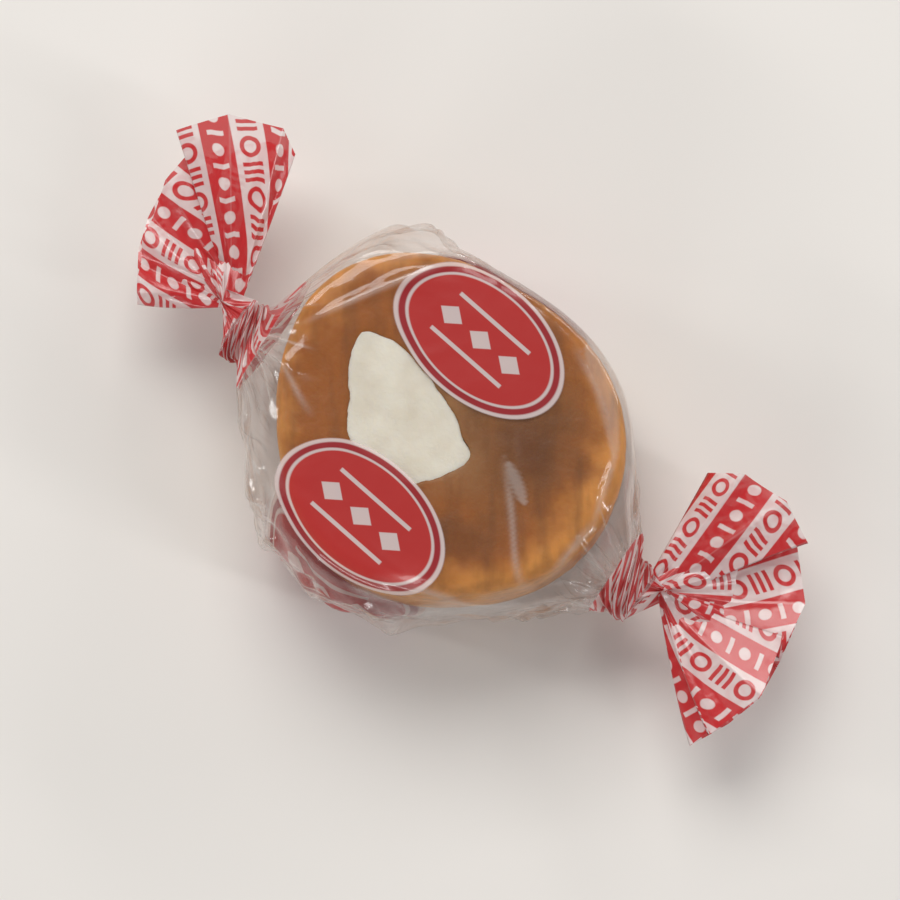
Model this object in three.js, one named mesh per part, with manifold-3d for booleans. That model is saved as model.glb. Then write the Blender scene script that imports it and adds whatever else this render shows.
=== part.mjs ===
// A caramel cream in its twist wrapper, lying on one flat face.
// Millimetres, +Z up. X runs along the wrapper from twist to twist, Z = 0 is the surface it lies on, and the
// origin is under the middle of the caramel.
// Three solids: the caramel disc, the cream core that runs right through it, and the film wrapper, which is
// one tube of film, drawn in to a twisted neck at each end and left open at the flared tips.

import * as THREE from 'three';
import { ParametricGeometry } from 'three/addons/geometries/ParametricGeometry.js';
import { mergeVertices } from 'three/addons/utils/BufferGeometryUtils.js';
import Module from 'manifold-3d';

// Driving dimensions
const caramelRadius = 13.7; // on average
const caramelThickness = 14.2;
const caramelEdgeRound = 1.3;
const creamGap = 0.3; // between the cream and the caramel around it
const filmWall = 0.4; // stands for the thin film, with its wrinkles
const filmGap = 0.3; // between the film and the faces of the caramel
const filmLooseness = new Map( [ [ 1, 0.8 ], [ - 1, 2.4 ] ] ); // beside the caramel, on its +Y and -Y sides
const neckReach = 18.6; // from the caramel's centre to each twist
const neckSag = 2.2; // and how far to the -Y side the twists lie
const sagStart = 5.6; // from the middle to where the film starts to lean to that side
const neckRadius = 2.3;
const neckWall = 1.4; // the film is bunched here, round a fine channel
const neckSquareness = 0.6; // corner radius of the neck as a share of its half width

// The film stands off further in one place, beside a twist: a loose ear on one end and one side.
const looseEar = { end: - 1, side: 1, reach: 12.5, spread: 3.8, depth: 2.2 };

// Each twisted end opens like a hand fan. Angles are in degrees.
const wideFan = {
	end: 1, length: 14.5, opening: 57, bend: 26, roll: 7, lift: 4,
	folds: 2.5, foldDepth: 1.7, foldDrift: 0.35, gape: 1.15,
};
const narrowFan = {
	end: - 1, length: 16, opening: 25, bend: - 44, roll: - 12, lift: 6,
	folds: 2, foldDepth: 2, foldDrift: 0.7, gape: 1.4,
};

// Derived sizes
const filmTop = caramelThickness + 2 * (filmWall + filmGap);
const midHeight = filmTop / 2;
const shoulderStart = new Map( [ [ 1, 14.6 ], [ - 1, 15.3 ] ] ); // where it slopes off the flat faces
const bodyCornerRadius = 1.7;

// Mesh steps
const aroundSteps = 60;
const quadrantSteps = aroundSteps / 4;
const sideSteps = 3; // of each quadrant, along the film's upright side
const cornerSteps = 5; // and round its corner; the rest lie on the flat face
const bodySteps = 10; // rings from the middle to a neck
const fanSteps = 6; // rings from a neck to a tip

const degrees = THREE.MathUtils.degToRad;
const { lerp, smoothstep } = THREE.MathUtils;

// A zigzag between -1 and 1 with a period of 1, for folds with sharp edges.
function zigzag( t ) {

	return 4 * Math.abs( t - Math.floor( t + 0.5 ) ) - 1;

}

// The caramel's outline: a soft round piece pressed out of true, with a blunt corner and a flattened side.
// Each lobe is its waves round, its height as a share of the radius, and its direction in degrees.
const caramelLobes = [ [ 1, 0.057, - 155 ], [ 2, 0.055, - 4 ], [ 3, 0.038, 30 ], [ 4, 0.015, - 19 ] ];

function caramelOutline( angle ) {

	let share = 1;
	for ( const [ waves, height, turn ] of caramelLobes ) {

		share += height * Math.cos( waves * ( angle - degrees( turn ) ) );

	}

	return caramelRadius * share;

}

function caramelShape() {

	const shape = new THREE.Shape();
	const steps = 56;
	for ( let i = 0; i < steps; i ++ ) {

		const angle = 2 * Math.PI * i / steps;
		const radius = caramelOutline( angle ) - caramelEdgeRound;
		const place = [ radius * Math.cos( angle ), radius * Math.sin( angle ) ];
		if ( i === 0 ) shape.moveTo( ...place );
		else shape.lineTo( ...place );

	}

	shape.closePath();
	return shape;

}

// The cream's outline: an uneven blunt wedge, set off to one side of the caramel.
const creamCentre = new THREE.Vector2( - 4, - 0.9 );
const creamCorners = [
	[ - 5.8, 3.3 ], [ - 3.6, 3.9 ], [ - 1, 3.5 ], [ 2.3, 2.3 ], [ 4.8, 0.7 ], [ 6.2, - 0.1 ],
	[ 5.8, - 1.6 ], [ 3.7, - 4.5 ], [ 1.2, - 4.8 ], [ - 2.4, - 4.2 ], [ - 4, - 2 ], [ - 6, 1.6 ],
];
const creamMeanRadius = 5;
const creamSteps = 40;

function creamShape( grow ) {

	const scale = 1 + grow / creamMeanRadius;
	const corners = creamCorners.map( ( [ x, y ] ) => new THREE.Vector3( x, y, 0 ) );
	const outline = new THREE.CatmullRomCurve3( corners, true, 'catmullrom', 0.35 );
	const points = outline.getSpacedPoints( creamSteps ).slice( 0, creamSteps );
	return new THREE.Shape( points.map( ( p ) =>
		new THREE.Vector2( creamCentre.x + scale * p.x, creamCentre.y + scale * p.y ) ) );

}

// manifold-3d joins and cuts closed meshes.
const wasm = await Module();
wasm.setup();

function toSolid( geometry ) {

	const bare = geometry.clone();
	bare.deleteAttribute( 'normal' );
	bare.deleteAttribute( 'uv' );
	const merged = mergeVertices( bare, 1e-4 );
	return new wasm.Manifold( new wasm.Mesh( {
		numProp: 3,
		vertProperties: new Float32Array( merged.attributes.position.array ),
		triVerts: new Uint32Array( merged.index.array ),
	} ) );

}

function toGeometry( solid ) {

	const mesh = solid.getMesh();
	const geometry = new THREE.BufferGeometry();
	geometry.setAttribute( 'position', new THREE.BufferAttribute( mesh.vertProperties, 3 ) );
	geometry.setIndex( new THREE.BufferAttribute( mesh.triVerts, 1 ) );
	geometry.computeVertexNormals();
	return geometry;

}

// The disc of caramel, its edges rounded, with the hole that the cream fills.
function makeCaramel() {

	const disc = new THREE.ExtrudeGeometry( caramelShape(), {
		depth: caramelThickness - 2 * caramelEdgeRound,
		bevelThickness: caramelEdgeRound, bevelSize: caramelEdgeRound, bevelSegments: 3,
	} );
	disc.translate( 0, 0, caramelEdgeRound );
	const overshoot = 1;
	const hole = new THREE.ExtrudeGeometry( creamShape( creamGap ), {
		depth: caramelThickness + 2 * overshoot, bevelEnabled: false,
	} );
	hole.translate( 0, 0, - overshoot );
	return toGeometry( toSolid( disc ).subtract( toSolid( hole ) ) );

}

// The core of cream, flush with both faces of the caramel.
function makeCream() {

	return new THREE.ExtrudeGeometry( creamShape( 0 ), { depth: caramelThickness, bevelEnabled: false } );

}

// The film's edge on one side of the caramel, seen from above: tight round the caramel grown by the film's
// looseness, then straight to each neck. Places are [ x, distance from the X axis ].
function tightEdge( side ) {

	const places = [];
	const steps = 60;
	for ( let i = 0; i <= steps; i ++ ) {

		const angle = side * Math.PI * i / steps;
		const radius = caramelOutline( angle ) + filmWall + filmLooseness.get( side );
		places.push( [ radius * Math.cos( angle ), side * radius * Math.sin( angle ) ] );

	}

	const neckEdge = neckRadius - side * neckSag;
	places.push( [ neckReach, neckEdge ], [ - neckReach, neckEdge ] );
	places.sort( ( a, b ) => a[ 0 ] - b[ 0 ] );
	const edge = [];
	for ( const place of places ) {

		while ( edge.length > 1 && ! turnsDown( edge.at( - 2 ), edge.at( - 1 ), place ) ) edge.pop();
		edge.push( place );

	}

	return edge;

}

function turnsDown( [ ax, ay ], [ bx, by ], [ cx, cy ] ) {

	return ( bx - ax ) * ( cy - by ) < ( by - ay ) * ( cx - bx );

}

const filmEdges = new Map( [ [ 1, tightEdge( 1 ) ], [ - 1, tightEdge( - 1 ) ] ] );

function filmEdge( x, side ) {

	const edge = filmEdges.get( side );
	const next = Math.max( 1, edge.findIndex( ( place ) => place[ 0 ] >= x - 1e-9 ) );
	const [ ax, ay ] = edge[ next - 1 ];
	const [ bx, by ] = edge[ next ];
	return lerp( ay, by, ( x - ax ) / ( bx - ax ) );

}

// The film's middle line sags towards the -Y side near the necks.
function filmSag( x ) {

	return neckSag * smoothstep( Math.abs( x ), sagStart, neckReach );

}

function filmHalfHeight( x, end ) {

	const start = shoulderStart.get( end || 1 );
	const share = Math.max( 0, ( Math.abs( x ) - start ) / ( neckReach - start ) );
	return lerp( midHeight, neckRadius, share );

}

function earDepth( x, side ) {

	const away = ( looseEar.end * x - looseEar.reach ) / looseEar.spread;
	return side === looseEar.side ? looseEar.depth * Math.exp( - ( away ** 2 ) ) : 0;

}

// Where step i of the way round lies: its quadrant's signs, and j from 0 at the side to quadrantSteps
// at mid width.
function wayRound( i ) {

	const side = i <= quadrantSteps || i > 3 * quadrantSteps ? 1 : - 1;
	const face = i <= 2 * quadrantSteps ? 1 : - 1;
	const half = i % ( 2 * quadrantSteps );
	return { side, face, j: Math.min( half, 2 * quadrantSteps - half ) };

}

// A point of a rounded rectangle of half sizes width and height, in the first quadrant.
function roundedCorner( j, width, height, radius ) {

	if ( j <= sideSteps ) return [ width, ( height - radius ) * j / sideSteps ];
	const onCorner = ( j - sideSteps ) / cornerSteps;
	if ( onCorner <= 1 ) {

		const turn = onCorner * Math.PI / 2;
		return [ width - radius + radius * Math.cos( turn ), height - radius + radius * Math.sin( turn ) ];

	}

	const flatSteps = quadrantSteps - sideSteps - cornerSteps;
	return [ ( width - radius ) * ( quadrantSteps - j ) / flatSteps, height ];

}

// The film round the caramel. Folds run in to the neck and turn with its twist, with none on the flat faces.
const shoulderFolds = 9;
const shoulderFoldDepth = 0.085;
const twistTurn = 0.35; // of a turn, from the shoulder to the neck

function bodyPoint( i, x, end, inner ) {

	const { side, face, j } = wayRound( i );
	const distance = Math.abs( x );
	const nearNeck = smoothstep( distance, shoulderStart.get( end || 1 ) - 0.3, neckReach );
	const wall = inner ? lerp( filmWall, neckWall, smoothstep( distance, neckReach - 1.6, neckReach ) ) : 0;
	const halfWidth = filmEdge( x, side ) + side * filmSag( x ) + earDepth( x, side );
	const width = halfWidth - wall;
	const height = filmHalfHeight( x, end ) - wall;
	const corner = lerp( bodyCornerRadius, neckSquareness * neckRadius, nearNeck ) * width / halfWidth;
	const [ y, z ] = roundedCorner( j, width, height, Math.min( corner, 0.9 * height ) );
	const fold = zigzag( shoulderFolds * ( i / aroundSteps + end * twistTurn * nearNeck / shoulderFolds ) );
	const swell = 1 + shoulderFoldDepth * fold * 4 * nearNeck * ( 1 - 0.8 * nearNeck );
	return new THREE.Vector3( x, side * y * swell - filmSag( x ), midHeight + face * z * swell );

}

// The flared film past a neck. Its two layers share their folds, so they never cross.
function fanPoint( i, s, fan, inner ) {

	const along = s / fan.length;
	const wall = inner ? lerp( neckWall, filmWall, smoothstep( s, 0, 3 ) ) : 0;
	const { side, face, j } = wayRound( i );
	const opening = degrees( fan.opening );
	const originBehind = neckRadius / Math.sin( opening ); // the fan's rays meet this far behind the neck
	const radius = originBehind + s;
	const across = side * ( 1 - j / quadrantSteps ) * ( 1 - wall / ( radius * opening ) );
	const ray = opening * across;

	const halfGap = lerp( neckRadius, fan.gape, smoothstep( s, 0, 6 ) ) - wall;
	const layer = face * halfGap * Math.cos( across * Math.PI / 2 );
	const drift = fan.foldDrift * across * across;
	const folds = fan.foldDepth * along * zigzag( fan.folds * across + drift + 0.2 );
	const height = layer + folds + degrees( fan.lift ) * s;

	const bend = degrees( fan.bend ) * smoothstep( s, 0, 7 );
	const forward = s - originBehind * ( 1 - Math.cos( ray ) ) * along - s * ( 1 - Math.cos( ray ) ) * along;
	const sideways = radius * Math.sin( ray );
	const roll = degrees( fan.roll ) * smoothstep( s, 0, 5 );
	const offset = new THREE.Vector3( forward, sideways * fan.end, height );
	offset.applyAxisAngle( new THREE.Vector3( 1, 0, 0 ), roll );
	offset.applyAxisAngle( new THREE.Vector3( 0, 0, 1 ), bend );
	const neck = new THREE.Vector3( fan.end * neckReach, - neckSag, midHeight );
	return neck.add( new THREE.Vector3( fan.end * offset.x, fan.end * offset.y, offset.z ) );

}

// Rings from tip to tip: the narrow fan's, the body's, close together near the necks, then the wide fan's.
const bodyRings = 2 * bodySteps + 1;
const filmRings = bodyRings + 2 * fanSteps;

function filmPoint( i, ring, inner ) {

	const beyondLeft = fanSteps - ring;
	const beyondRight = ring - fanSteps - bodyRings + 1;
	if ( beyondLeft > 0 ) return fanPoint( i, narrowFan.length * beyondLeft / fanSteps, narrowFan, inner );
	if ( beyondRight > 0 ) return fanPoint( i, wideFan.length * beyondRight / fanSteps, wideFan, inner );
	const step = ring - fanSteps - bodySteps;
	const end = Math.sign( step );
	const x = neckReach * ( 1 - ( 1 - Math.abs( step ) / bodySteps ) ** 1.6 );
	return bodyPoint( i, end * x, end, inner );

}

// One closed skin: out along the film's outside from tip to tip, and back along its inside.
function makeWrapper() {

	const alongSteps = 2 * filmRings;
	const skin = new ParametricGeometry( ( u, v, target ) => {

		const i = Math.round( u * aroundSteps ) % aroundSteps;
		const step = Math.round( v * alongSteps ) % alongSteps;
		const inner = step >= filmRings;
		target.copy( filmPoint( i, inner ? alongSteps - 1 - step : step, inner ) );

	}, aroundSteps, alongSteps );
	return toGeometry( toSolid( skin ) );

}

// Finishes
const caramelFinish = new THREE.MeshStandardMaterial( { color: 0xb07838, roughness: 0.45, metalness: 0 } );
const creamFinish = new THREE.MeshStandardMaterial( { color: 0xe6e0cc, roughness: 0.6, metalness: 0 } );
const filmFinish = new THREE.MeshStandardMaterial( { color: 0xd24a48, roughness: 0.2, metalness: 0 } );

const candy = new THREE.Group();

function addPiece( name, geometry, finish, height ) {

	const piece = new THREE.Mesh( geometry, finish );
	piece.name = name;
	piece.position.z = height;
	candy.add( piece );

}

addPiece( 'caramel', makeCaramel(), caramelFinish, filmWall + filmGap );
addPiece( 'cream', makeCream(), creamFinish, filmWall + filmGap );
addPiece( 'wrapper', makeWrapper(), filmFinish, 0 );

export default candy;
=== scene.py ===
import math
import bpy
import numpy as np
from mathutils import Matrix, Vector


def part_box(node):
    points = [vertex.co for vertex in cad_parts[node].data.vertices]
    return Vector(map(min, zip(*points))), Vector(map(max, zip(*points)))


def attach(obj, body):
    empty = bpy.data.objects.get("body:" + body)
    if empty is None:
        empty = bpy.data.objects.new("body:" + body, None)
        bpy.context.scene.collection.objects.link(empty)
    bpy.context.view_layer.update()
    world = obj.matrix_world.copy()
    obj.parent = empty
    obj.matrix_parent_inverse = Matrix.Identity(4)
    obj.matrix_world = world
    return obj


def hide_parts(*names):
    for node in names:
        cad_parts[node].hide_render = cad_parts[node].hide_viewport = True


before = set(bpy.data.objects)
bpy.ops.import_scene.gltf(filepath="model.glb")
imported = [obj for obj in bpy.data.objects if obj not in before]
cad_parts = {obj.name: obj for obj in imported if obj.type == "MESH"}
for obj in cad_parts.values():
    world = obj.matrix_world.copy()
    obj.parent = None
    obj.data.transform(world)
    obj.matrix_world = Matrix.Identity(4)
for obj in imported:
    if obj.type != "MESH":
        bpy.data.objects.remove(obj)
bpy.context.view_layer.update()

mm = 0.001  # lengths are in mm wherever nothing else is said
caramelBox = [[c / mm for c in corner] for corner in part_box("caramel")]
bottomHeight, topHeight = caramelBox[0][2], caramelBox[1][2]
middleHeight = (bottomHeight + topHeight) / 2
print("frame loaded, caramel from", round(bottomHeight, 2), "to", round(topHeight, 2), "mm")


# small helpers

def clearSelection():
    if bpy.context.object and bpy.context.object.mode != "OBJECT":
        bpy.ops.object.mode_set(mode="OBJECT")
    bpy.ops.object.select_all(action="DESELECT")


def selectOnly(obj):
    clearSelection()
    obj.select_set(True)
    bpy.context.view_layer.objects.active = obj


def meshPoints(obj):  # in mm
    flat = np.empty(len(obj.data.vertices) * 3)
    obj.data.vertices.foreach_get("co", flat)
    return flat.reshape(-1, 3) / mm


def movePoints(obj, points):
    obj.data.vertices.foreach_set("co", (np.asarray(points) * mm).ravel())
    obj.data.update()


def pickEdges(obj, wanted):  # leaves the object in edit mode with those edges selected
    selectOnly(obj)
    bpy.ops.object.mode_set(mode="EDIT")
    bpy.ops.mesh.select_mode(type="EDGE")
    bpy.ops.mesh.select_all(action="DESELECT")
    bpy.ops.object.mode_set(mode="OBJECT")
    points = obj.data.vertices
    for edge in obj.data.edges:
        a, b = points[edge.vertices[0]].co / mm, points[edge.vertices[1]].co / mm
        edge.select = bool(wanted(a, b))
    bpy.ops.object.mode_set(mode="EDIT")


def applyModifiers(obj):
    selectOnly(obj)
    for modifier in list(obj.modifiers):
        bpy.ops.object.modifier_apply(modifier=modifier.name)


def smoothStep(x, low, high):
    t = np.clip((np.asarray(x, float) - low) / (high - low), 0, 1)
    return t * t * (3 - 2 * t)


def chainLength(chain):  # the distance at each of its points
    return np.concatenate([[0], np.cumsum(np.hypot(*np.diff(chain, axis=0).T))])


def along(chain, lengths, distance):
    return np.column_stack([np.interp(distance, lengths, chain[:, k]) for k in (0, 1)])


# the caramel and the cream: a short disc, a little out of round, with a hole that the cream fills

caramelShape = {
    "radius": 13.7,
    "lobes": [(1, 0.057, -155), (2, 0.055, -4), (3, 0.038, 30), (4, 0.015, -19)],  # waves round, height, turn
    "sides": 144,
    "rimRound": 1.5,
    "rimSegments": 6,
    "voxel": 0.26,
    "passes": 3,
    "slump": {"size": 5.0, "height": 0.3, "middle": 0.62},  # shared with the cream
    "grain": {"size": 1.1, "height": 0.09, "middle": 0.6},
}

creamShape = {
    "centre": (-4.0, -0.9),
    "corners": [(-5.8, 3.3), (-3.6, 3.9), (-1.0, 3.5), (2.3, 2.3), (4.8, 0.7), (6.2, -0.1),
                (5.8, -1.6), (3.7, -4.5), (1.2, -4.8), (-2.4, -4.2), (-4.0, -2.0), (-6.0, 1.6)],
    "cornerPull": 0.35,
    "cornerSteps": 24,
    "meanRadius": 5.0,
    "ragged": [(0.10, 0.83, 0.4), (0.07, 1.9, 2.0), (0.035, 4.3, 5.1)],  # height, waves a mm, shift
    "overlap": 0.22,  # the cream reaches this far into the caramel
    "inset": 0.02,  # and ends this far inside its faces
    "steps": 120,
    "edgeRound": 0.22,
    "edgeSegments": 3,
    "voxel": 0.2,
    "passes": 2,
    "pasty": {"size": 1.6, "height": 0.1, "middle": 0.6},
}


def caramelRadius(angle):
    lobes = caramelShape["lobes"]
    wavy = sum(tall * np.cos(waves * (angle - math.radians(turn))) for waves, tall, turn in lobes)
    return caramelShape["radius"] * (1 + wavy)


def creamOutline(grow):  # an uneven blunt wedge
    corners = np.array(creamShape["corners"])
    count, pull = len(corners), creamShape["cornerPull"]
    points = []
    for i in range(count):
        p0, p1, p2, p3 = (corners[(i + k - 1) % count] for k in range(4))
        m1, m2 = pull * (p2 - p0), pull * (p3 - p1)
        for t in np.linspace(0, 1, creamShape["cornerSteps"], endpoint=False):
            points.append((2 * t**3 - 3 * t**2 + 1) * p1 + (t**3 - 2 * t**2 + t) * m1
                          + (3 * t**2 - 2 * t**3) * p2 + (t**3 - t**2) * m2)
    points = np.array(points + points[:1])
    length = chainLength(points)
    wanted = np.linspace(0, length[-1], creamShape["steps"], endpoint=False)
    outline = along(points, length, wanted)
    ragged = sum(tall * np.sin(waves * wanted + shift + np.sin(0.61 * waves * wanted))
                 for tall, waves, shift in creamShape["ragged"])
    outline += ragged[:, None] * outline / np.hypot(*outline.T)[:, None]
    return outline * (1 + grow / creamShape["meanRadius"]) + np.array(creamShape["centre"])


def addPrism(name, outline, low, high):  # a flat outline drawn up into a solid
    clearSelection()
    bpy.ops.mesh.primitive_circle_add(vertices=len(outline), radius=0.01, fill_type="NGON")
    prism = bpy.context.object
    prism.name = name
    prism.data.name = name
    points = meshPoints(prism)
    order = np.argsort(np.arctan2(points[:, 1], points[:, 0]))
    fromMiddle = outline - outline.mean(0)
    first = int(np.argmin(np.arctan2(fromMiddle[:, 1], fromMiddle[:, 0])))
    points[order] = np.column_stack([np.roll(outline, -first, axis=0), np.full(len(outline), low)])
    movePoints(prism, points)
    bpy.ops.object.mode_set(mode="EDIT")
    bpy.ops.mesh.select_all(action="SELECT")
    bpy.ops.mesh.extrude_region_move(TRANSFORM_OT_translate={"value": (0, 0, (high - low) * mm)})
    bpy.ops.mesh.select_all(action="SELECT")
    bpy.ops.mesh.normals_make_consistent(inside=False)
    bpy.ops.object.mode_set(mode="OBJECT")
    return prism


def roundOver(obj, low, high, width, segments):  # softens the edges of both end faces
    def onEnd(a, b):
        return abs(a.z - b.z) < 1e-3 and (abs(a.z - low) < 1e-3 or abs(a.z - high) < 1e-3)
    pickEdges(obj, onEnd)
    bpy.ops.mesh.bevel(offset=width * mm, segments=segments, profile=0.5, affect="EDGES")
    bpy.ops.object.mode_set(mode="OBJECT")


def evenOut(obj, voxel, passes):  # an even skin of small faces
    selectOnly(obj)
    obj.data.remesh_voxel_size = voxel * mm
    obj.data.remesh_voxel_adaptivity = 0
    bpy.ops.object.voxel_remesh()
    smooth = obj.modifiers.new("settle", "SMOOTH")
    smooth.factor = 0.5
    smooth.iterations = passes
    applyModifiers(obj)


def lumps(obj, name, size, height, middle):  # soft unevenness, in mm
    texture = bpy.data.textures.new(name, type="CLOUDS")
    texture.noise_scale = size * mm
    texture.noise_depth = 2
    modifier = obj.modifiers.new(name, "DISPLACE")
    modifier.texture = texture
    modifier.texture_coords = "LOCAL"
    modifier.strength = height * mm
    modifier.mid_level = middle


def makeCaramel():
    shape = caramelShape
    clearSelection()
    bpy.ops.mesh.primitive_cylinder_add(vertices=shape["sides"], radius=shape["radius"] * mm,
                                        depth=(topHeight - bottomHeight) * mm, end_fill_type="NGON",
                                        location=(0, 0, middleHeight * mm))
    caramel = bpy.context.object
    caramel.name = "caramelDisc"
    bpy.ops.object.transform_apply(location=True, rotation=True, scale=True)
    points = meshPoints(caramel)
    angle = np.arctan2(points[:, 1], points[:, 0])
    points[:, :2] *= (caramelRadius(angle) / shape["radius"])[:, None]
    movePoints(caramel, points)
    roundOver(caramel, bottomHeight, topHeight, shape["rimRound"], shape["rimSegments"])
    hole = addPrism("creamHole", creamOutline(0), bottomHeight - 1, topHeight + 1)
    cut = caramel.modifiers.new("hole", "BOOLEAN")
    cut.operation = "DIFFERENCE"
    cut.object = hole
    cut.solver = "EXACT"
    applyModifiers(caramel)
    bpy.data.objects.remove(hole)
    evenOut(caramel, shape["voxel"], shape["passes"])
    lumps(caramel, "slump", **shape["slump"])
    lumps(caramel, "grain", **shape["grain"])
    applyModifiers(caramel)
    bpy.ops.object.shade_smooth()
    print("caramel", len(caramel.data.polygons), "faces")
    return caramel


def makeCream():
    shape = creamShape
    low, high = bottomHeight + shape["inset"], topHeight - shape["inset"]
    cream = addPrism("creamCore", creamOutline(shape["overlap"]), low, high)
    roundOver(cream, low, high, shape["edgeRound"], shape["edgeSegments"])
    evenOut(cream, shape["voxel"], shape["passes"])
    lumps(cream, "slump", **caramelShape["slump"])
    lumps(cream, "pasty", **shape["pasty"])
    applyModifiers(cream)
    bpy.ops.object.shade_smooth()
    print("cream", len(cream.data.polygons), "faces")
    return cream


# the wrapper: one sheet of film, rolled round the caramel, twisted at both ends and fanned out

filmShape = {
    "clearance": 0.16,  # between the film and the caramel's faces
    "edgeGap": 0.15,  # between the film and the caramel's edge
    "rimSlack": 0.5,
    "shoulder": [(0, 1.15), (0.12, 0.6), (0.45, 0.2), (1.1, 0.0), (3.6, 0.0)],  # in from a face and the edge
    "sideSag": 2.2,  # how far the loose side stands off
    "sagDirection": 235,
    "ear": {"reach": 12.5, "spread": 3.8, "depth": 2.2, "side": (1, 7)},  # loose, beside the narrow twist
    "formSides": 180,
    "neckSides": 48,
    "neckStart": 17.5,
    "neckEnd": 19.2,
    "neckRadius": 2.0,
    "neckSag": 2.2,
    "neckSagFrom": 6,
    "twist": 185,  # degrees, from a shoulder to its fan
    "twistFrom": {-1: 16.5, 1: 15.6},
    "twistPast": 1.4,  # the twist dies out in the fan
    "spare": 0.8,  # film to spare on each side of the girth
    "overlap": 5.0,
    "overlapGap": 0.13,
    "gather": (9, 15),  # from the middle, where the girth is drawn in
    "flatShare": 0.56,  # of a section's top, which is drawn in less
    "leastHeight": 0.05,
    "stripeSlope": (13.0, 1.5),  # past this reach the print runs on faster
    "neckWidth": 0.7,  # what shows of each sheet of a fan at its neck
    "neckPrint": 0.4,  # the share of the print that the folds of a twist leave in sight
    "neckPrintFrom": (13.5, 15.5),
    "fanPrintStart": 22.3,
    "fanApex": 18.6,
    "columns": 384,
    "bodyStep": 0.28,
    "neckStep": 0.17,
    "fanStep": 0.4,
}

filmFolds = {
    "markWidth": 0.26,  # of the milky line along a crease, which is partly whitening of the folded film and partly a painted highlight
    "pleatSeed": {-1: 21, 1: 34},
    # least and most width, where they start, tallest, and where they are full
    "pleats": [(2.2, 5.2, (11.4, 14.2), 1.5, 16.0), (1.0, 2.2, (13.8, 16.2), 0.55, 17.2)],
    "pleatInward": (12.6, 15.4),  # nearer to the caramel a pleat can only stand outwards
    "pleatNeck": (0.55, 15.5, 17.6),  # how much lower it gets in the twist, and where
    "looseFrom": (0.3, 2.0),  # off the caramel, where creases get deep
    "calm": (0.8, 12.8, 2.2),  # how much fainter they are on its face, and where
    "creaseNeck": (0.7, 15.5, 17.5),
    "creaseSeed": 7,
    # how many, length, width of a slope, height, and how far they turn from the sheet's length
    "broad": (60, (7, 24), (0.5, 3.0), (0.05, 0.24), 0.6),
    "small": (170, (1.5, 8), (0.3, 1.2), (0.03, 0.12), 1.2),
    "looseOut": (320, (2.5, 11), (0.5, 2.4), (0.2, 0.8), 1.0),
    "looseIn": (260, (2.5, 11), (0.5, 2.4), (0.2, 0.7), 1.0),
    "fan": (40, (4, 12), (0.5, 2.0), (0.05, 0.28), 0.6),
    # from (x, y) to (x, y), half width and height
    "long": [(4.2, 0.6, 12.4, -8.4, 0.7, 0.14), (4.0, 10.6, 12.4, 6.6, 0.5, 0.2),
             (11.3, 8.4, 13.4, 1.2, 0.5, 0.2), (13.3, 2.8, 12.6, -6.8, 0.5, 0.2),
             (12.8, -0.5, 17.8, -2.0, 0.8, 0.3), (-7.0, 11.5, -15.0, 2.0, 0.9, 0.35),
             (-9.5, -5.0, -16.0, -2.0, 0.9, 0.35), (-4.0, 13.5, -12.5, 9.0, 0.9, 0.35),
             (1.0, -13.2, 12.5, -9.5, 0.9, 0.3)],
    "longMark": 0.8,
    "fanMark": 0.7,
    # painted reflections: milky patches that stand in for light glancing off tilted film: from (x, y) to (x,
    # y), half width and strength
    "paintedSheenPatches": [(4.9, 0.1, 8.0, -1.8, 0.65, 0.7), (4.9, 11.3, 12.0, 6.6, 1.1, 0.6)],
}

# corners of each fan's cut edge, once round both layers: plan angle from +X, reach from the twist, height
wideFan = {
    "end": 1, "seed": 5, "bulge": 0.45,
    "corners": [(24, 13.2, -2.2), (8, 12.8, -1.0), (-6, 13.0, -2.4), (-20, 12.8, -1.3), (-36, 12.9, -1.2),
                (-25, 12.4, 0.3), (-29, 12.8, 1.0), (-6, 13.0, 2.6), (17, 12.3, 1.7), (9, 12.6, 0.7),
                (30, 13.6, 0.1), (57, 13.8, 0.7), (49, 14.2, 2.0), (64, 13.8, 3.3), (80, 12.6, 2.6),
                (92, 11.0, 1.4), (78, 12.6, 0.0), (66, 13.4, -1.4), (54, 13.6, -0.3), (40, 13.4, -1.6)],
}
narrowFan = {
    "end": -1, "seed": 8, "bulge": 0.4,
    "corners": [(140, 14.6, -2.4), (152, 13.4, -0.8), (164, 12.2, -2.2), (176, 10.8, -0.9), (190, 9.4, -1.3),
                (200, 8.8, -0.2), (189, 9.4, 1.1), (181, 9.8, 0.2), (172, 10.9, 1.5), (163, 11.6, 0.5),
                (152, 13.4, 1.6), (137, 15.6, 1.0), (143, 16.6, 2.5), (128, 16.9, 3.4), (113, 16.2, 2.3),
                (108, 14.6, 0.9), (117, 15.4, -0.6), (130, 15.2, -2.0)],
}
foldIsSharp = 0.3  # panels of a fan that meet at a sharper fold than this cosine are separate sheets
nearMiddle = 0.013  # mm, beside x = 0, where no edge of the form lies flat


def newRing(sides):
    bpy.ops.mesh.primitive_circle_add(vertices=sides, radius=0.01, location=(0, 0, 0))
    ring = bpy.context.object
    points = meshPoints(ring)
    return ring, np.arctan2(points[:, 1], points[:, 0])


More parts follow.
